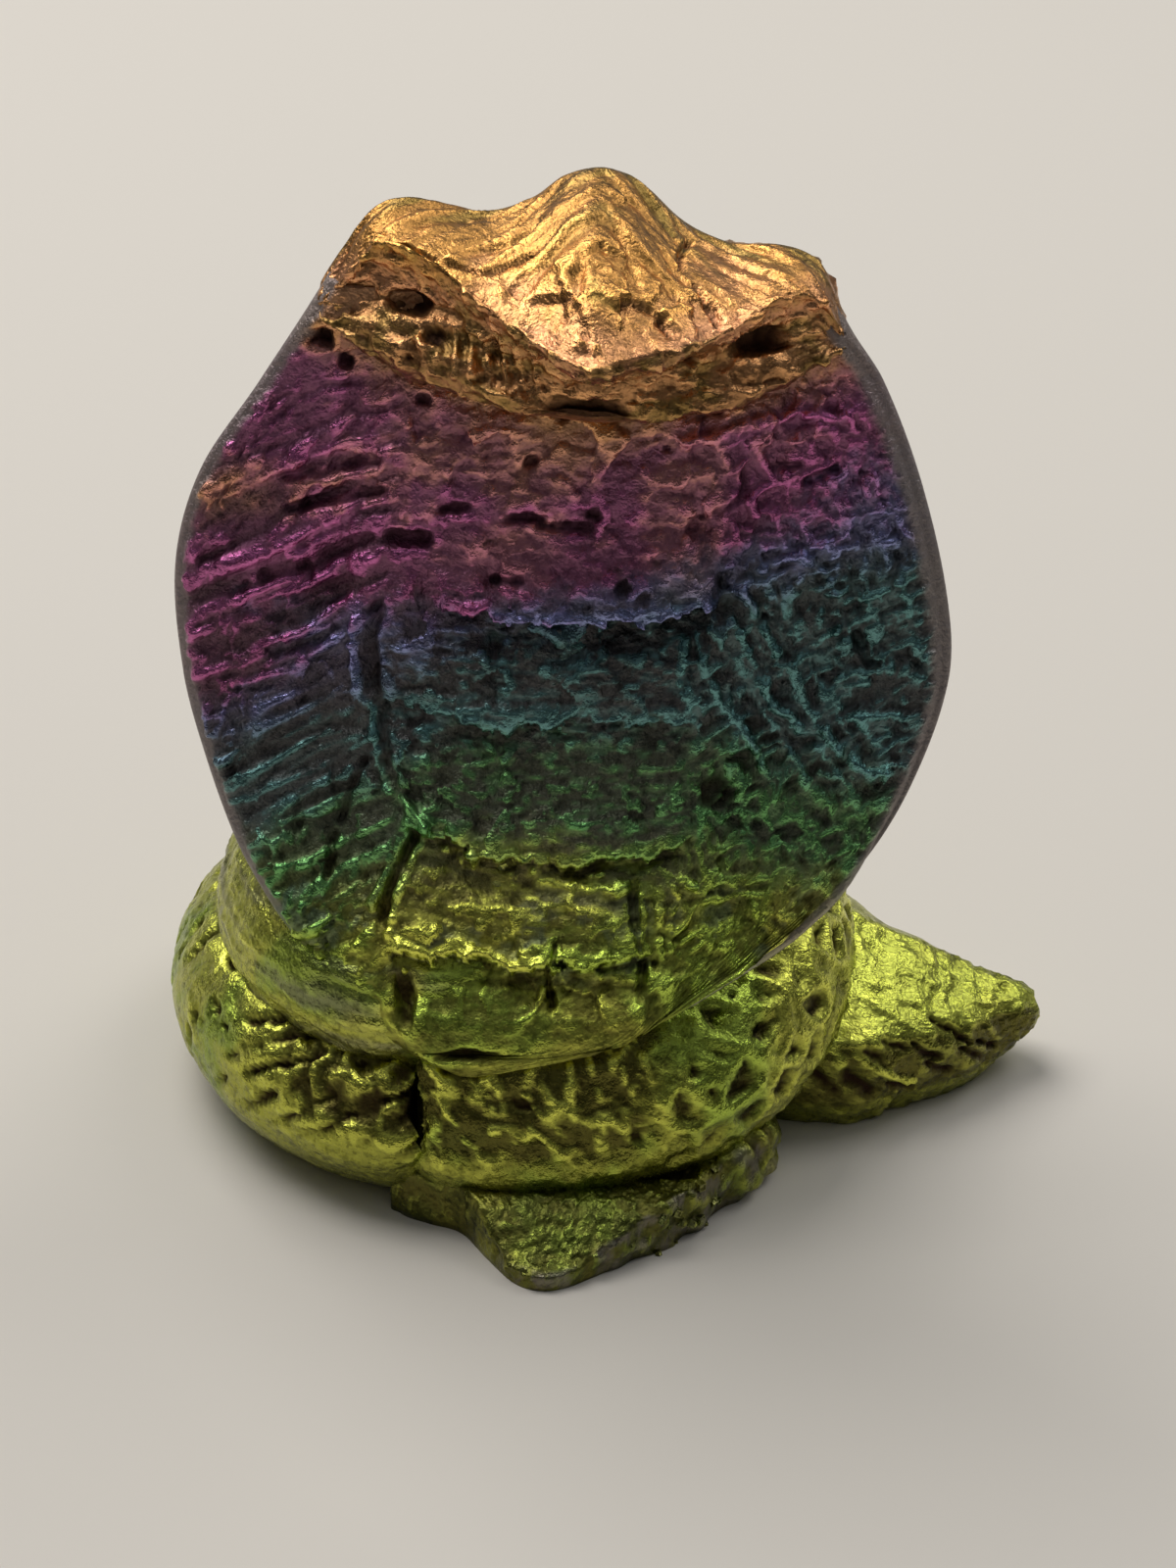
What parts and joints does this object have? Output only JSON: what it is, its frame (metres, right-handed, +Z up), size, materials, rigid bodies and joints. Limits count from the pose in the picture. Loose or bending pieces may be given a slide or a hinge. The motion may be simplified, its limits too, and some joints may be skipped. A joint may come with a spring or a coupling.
{
  "type": "cast snake figurine",
  "caption": "Palm-sized metal cobra carving: coiled body with a broad ribbed hood, wedge-shaped head, free tapering tail and a flat underside to stand on.",
  "frame": {"origin": "centre of the footprint's bounding box, on the plane that the carving stands on", "axes": "+Z up, the hood's belly and the head's snout face -Y, the tail points to +X"},
  "size_m": [0.0574, 0.0462, 0.0605],
  "materials": {
    "bismuth_oxide": "oxide-coloured cast metal, satin, gold at the head through purple, blue and green to yellow-green at the foot"
  },
  "bodies": {
    "root": {"snake_carving": "bismuth_oxide"}
  },
  "joints": []
}
